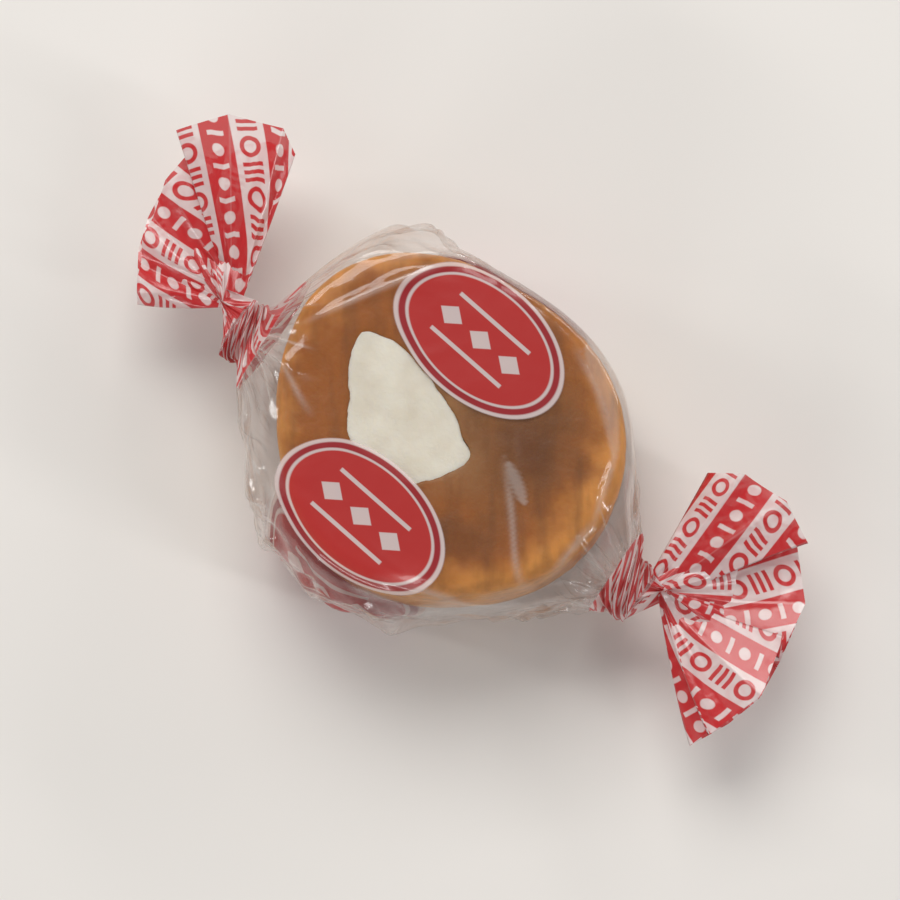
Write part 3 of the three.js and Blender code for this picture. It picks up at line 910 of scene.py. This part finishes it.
def makeFilmMaterial():
    material, tree = newMaterial("filmPrinted")
    size, finish = filmPrint, filmFinish

    def m(operation, *given, clamp=False):
        return mathNode(tree, operation, *given, clamp=clamp)

    def inside(distance, edge, soft):  # 1 where distance is under edge
        return m("MULTIPLY_ADD", distance, -1 / soft, edge / soft + 0.5, clamp=True)

    def band(value, half, soft):  # 1 within half of 0
        return inside(m("ABSOLUTE", value), half, soft)

    def repeated(value, pitch):  # from -pitch / 2 to pitch / 2, over and over
        return m("WRAP", value, pitch / 2, -pitch / 2)

    def distance(p, q):
        return m("SQRT", m("ADD", m("MULTIPLY", p, p), m("MULTIPLY", q, q)))

    def turned(p, q, degrees):
        c, s = math.cos(math.radians(degrees)), math.sin(math.radians(degrees))
        return (m("SUBTRACT", m("MULTIPLY", p, c), m("MULTIPLY", q, s)),
                m("ADD", m("MULTIPLY", p, s), m("MULTIPLY", q, c)))

    sheet = addNode(tree, "ShaderNodeUVMap", uv_map="filmPrint").outputs[0]
    u, v = addNode(tree, "ShaderNodeSeparateXYZ", {0: sheet}).outputs[:2]

    # ovals along the body, each with a row of small diamonds between two bars
    flatU = m("SUBTRACT", u, size["labelCentre"][0])
    flatV = repeated(m("SUBTRACT", v, size["labelCentre"][1]), size["labelPitch"])
    du, dv = turned(flatU, flatV, size["labelTurn"])

    def oval(half):
        return distance(m("MULTIPLY", du, 1 / half[0]), m("MULTIPLY", dv, 1 / half[1]))

    outer, inner = oval(size["labelHalf"]), oval(size["innerHalf"])
    rim = m("SUBTRACT", 1.0, inside(outer, size["labelRimFrom"], 0.02))
    line = band(m("SUBTRACT", inner, 1.0), size["innerLine"], 0.02)
    gemU = m("MULTIPLY", m("ABSOLUTE", repeated(du, size["gemPitch"])), 1 / size["gemHalf"][0])
    gemV = m("MULTIPLY", m("ABSOLUTE", dv), 1 / size["gemHalf"][1])
    gems = m("MULTIPLY", inside(m("ADD", gemU, gemV), 1.0, 0.1), band(du, size["gemsReach"], 0.05))
    fromBar = m("SUBTRACT", m("ABSOLUTE", dv), size["barFrom"])
    bars = m("MULTIPLY", band(fromBar, size["barHalf"][1], 0.06), band(du, size["barHalf"][0], 0.1))
    labelWhite = m("MAXIMUM", m("MAXIMUM", rim, line), m("MAXIMUM", gems, bars), clamp=True)
    labelRed = mixColours(tree, inside(inner, 1.0, 0.02), size["labelRing"], size["labelRed"])

    # slanted stripes on the twisted ends: rings and ticks on the white, dots and dashes on the red
    lengthwise, across = turned(u, v, -size["stripeAngle"])
    phase = repeated(across, size["stripePitch"])
    stripeRed = band(phase, size["stripePitch"] / 4, 0.08)
    fromRow = m("SUBTRACT", size["stripePitch"] / 2, m("ABSOLUTE", phase))
    fromRing = m("SUBTRACT", distance(repeated(lengthwise, size["ringPitch"]), fromRow), size["ringRadius"])
    ring = band(fromRing, size["ringHalf"], 0.08)
    tickAt = m("ABSOLUTE", repeated(m("ADD", lengthwise, size["ringPitch"] / 2), size["ringPitch"]))
    ticks = m("MAXIMUM", inside(tickAt, size["tickHalf"][0], 0.06),
              band(m("SUBTRACT", tickAt, size["tickPitch"]), size["tickHalf"][0], 0.06))
    onWhite = m("MAXIMUM", ring, m("MULTIPLY", ticks, inside(fromRow, size["tickHalf"][1], 0.08)))
    dot = inside(distance(repeated(lengthwise, size["dotPitch"]), phase), size["dotRadius"], 0.1)
    dashAt = repeated(m("ADD", lengthwise, size["dotPitch"] / 2), size["dotPitch"])
    dash = m("MULTIPLY", band(dashAt, size["dashHalf"][0], 0.08), band(phase, size["dashHalf"][1], 0.08))
    paleParts = m("MAXIMUM", m("SUBTRACT", 1.0, stripeRed), m("MAXIMUM", dot, dash))
    stripeWhite = m("SUBTRACT", paleParts, onWhite, clamp=True)

    # where there is ink, and its colour
    stripeZone = inside(m("MULTIPLY", m("ABSOLUTE", u), -1), -size["stripeFrom"], 0.1)
    label = m("MULTIPLY", inside(outer, 1.0, 0.02), band(u, size["labelReach"], 0.1))
    printed = m("MAXIMUM", label, stripeZone, clamp=True)
    white = mixColours(tree, stripeZone, labelWhite, stripeWhite)
    red = mixColours(tree, stripeZone, labelRed, size["red"])
    creaseAndSheen, looseness = (addNode(tree, "ShaderNodeAttribute", attribute_name=name).outputs["Fac"]
                         for name in ("filmCreaseAndSheen", "filmLoose"))
    clean = mixColours(tree, white, red, size["white"])
    # ink paled along creases by wear, and by painted reflection where the flake patches lie
    inkColour = mixColours(tree, m("MULTIPLY", creaseAndSheen, finish["inkWearAndSheen"]), clean, size["white"])

    # flat facets between fine creases
    facets = []
    for width, share in finish["facets"]:
        cells = addNode(tree, "ShaderNodeTexVoronoi", {"Vector": sheet, "Scale": 1 / width},
                        voronoi_dimensions="2D", distance="MANHATTAN")
        facets.append(m("MULTIPLY", cells.outputs["Distance"], share))
    relief = m("MULTIPLY", m("ADD", *facets), m("MULTIPLY_ADD", looseness, *finish["facetShare"]))
    crinkle = addNode(tree, "ShaderNodeBump", {"Height": relief, **finish["bump"]}).outputs[0]

    solidInk = {"Base Color": inkColour, "Normal": crinkle, **finish["ink"]}
    ink = addNode(tree, "ShaderNodeBsdfPrincipled", solidInk)
    through = addNode(tree, "ShaderNodeBsdfTranslucent", {"Color": inkColour})
    inkLayer = mixShaders(tree, finish["inkThrough"], ink.outputs[0], through.outputs[0])

    # clear film: lets light through, a little milky, glossy on every crease
    facing = addNode(tree, "ShaderNodeLayerWeight", {"Blend": 0.5}).outputs["Facing"]
    cloud = addMottle(tree, finish["patchSize"])[0]
    patches = m("MULTIPLY", m("MULTIPLY_ADD", cloud, *finish["milkPatches"], clamp=True), looseness)
    evenMilk = m("MULTIPLY_ADD", m("POWER", facing, 2.0), *finish["milkShare"])
    # the milk along creases is partly a painted highlight, and on the flake patches a painted reflection
    milkiness = m("ADD", evenMilk, m("MULTIPLY_ADD", creaseAndSheen, finish["milkOnCreases"], patches), clamp=True)
    glossiness = m("MULTIPLY_ADD", m("POWER", facing, 4.0), *finish["glossShare"], clamp=True)
    clear = addNode(tree, "ShaderNodeBsdfTransparent", finish["clear"])
    milk = addNode(tree, "ShaderNodeBsdfPrincipled", finish["milk"])
    gloss = addNode(tree, "ShaderNodeBsdfGlossy", {"Normal": crinkle, **finish["gloss"]})
    milky = mixShaders(tree, milkiness, clear.outputs[0], milk.outputs[0])
    bare = mixShaders(tree, glossiness, milky, gloss.outputs[0])

    cover = m("MULTIPLY", printed, mixColours(tree, white, size["coverRed"], size["coverWhite"]))
    finishMaterial(tree, mixShaders(tree, cover, bare, inkLayer))
    return material


# the finished pieces: each with its material, the solid that it stands for and its slot

pieces = (
    (makeCaramel(), makeCaramelMaterial(), "caramel", "caramel"),
    (makeCream(), makeCreamMaterial(), "cream", "cream"),
    (makeFilm(), makeFilmMaterial(), "wrapper", "wrapper_film"),
)
for piece, material, node, finish in pieces:
    piece.data.materials.clear()
    piece.data.materials.append(material)
    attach(piece, "root")
    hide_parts(node)
print("pieces in place")


# studio: pale floor, soft light, camera above

studio = {
    "floor": srgb(226, 222, 217),
    "floorSize": 3,  # metres
    "floorRoughness": 0.7,
    "world": (0.80, 0.81, 0.83, 1),
    "worldStrength": 0.25,
    # name, place and size in metres, power, colour
    "lights": [("keyLight", (-0.30, 0.28, 0.55), (0.50, 0.40), 3.3, (1, 0.985, 0.96)),
               ("rightStrip", (0.52, 0.10, 0.34), (0.05, 0.40), 0.9, (0.97, 0.98, 1)),
               ("frontStrip", (0.05, -0.56, 0.30), (0.44, 0.05), 0.9, (1, 1, 1)),
               ("leftStrip", (-0.55, -0.20, 0.26), (0.05, 0.36), 0.7, (1, 0.99, 0.97)),
               ("backStrip", (0.15, 0.56, 0.30), (0.40, 0.05), 0.7, (1, 1, 1))],
    "azimuth": 34,
    "elevation": 84,
    "distance": 0.52,  # metres
    "lens": 262,
    "aim": (0.2, -0.9, 7.0),  # mm
    "filmLayers": 24,  # clear surfaces that light may pass through
}

clearSelection()
bpy.ops.mesh.primitive_plane_add(size=studio["floorSize"], location=(0, 0, 0))
floor = bpy.context.object
floor.name = "studioFloor"
floorMaterial, tree = newMaterial("paleFloor")
surface = addNode(tree, "ShaderNodeBsdfPrincipled",
                  {"Base Color": studio["floor"], "Roughness": studio["floorRoughness"]})
finishMaterial(tree, surface.outputs[0])
floor.data.materials.append(floorMaterial)

world = bpy.data.worlds.new("studioWorld")
bpy.context.scene.world = world
world.use_nodes = True
world.node_tree.nodes["Background"].inputs[0].default_value = studio["world"]
world.node_tree.nodes["Background"].inputs[1].default_value = studio["worldStrength"]

for name, place, size, power, colour in studio["lights"]:
    clearSelection()
    bpy.ops.object.light_add(type="AREA", location=place)
    light = bpy.context.object
    light.name = name
    light.data.shape = "RECTANGLE"
    light.data.size, light.data.size_y = size
    light.data.energy = power
    light.data.color = colour
    light.rotation_euler = (-Vector(place)).to_track_quat("-Z", "Y").to_euler()

a, e = math.radians(studio["azimuth"]), math.radians(studio["elevation"])
aim = Vector(studio["aim"]) * mm
back = Vector((math.sin(a) * math.cos(e), -math.cos(a) * math.cos(e), math.sin(e)))
clearSelection()
bpy.ops.object.camera_add(location=aim + back * studio["distance"])
camera = bpy.context.object
camera.name = "studioCamera"
camera.data.lens = studio["lens"]
camera.data.clip_start = 0.01
camera.rotation_euler = back.to_track_quat("Z", "Y").to_euler()
bpy.context.scene.camera = camera
bpy.context.scene.view_settings.view_transform = "Standard"
bpy.context.scene.cycles.transparent_max_bounces = studio["filmLayers"]

bpy.context.view_layer.update()
print("scene ready")
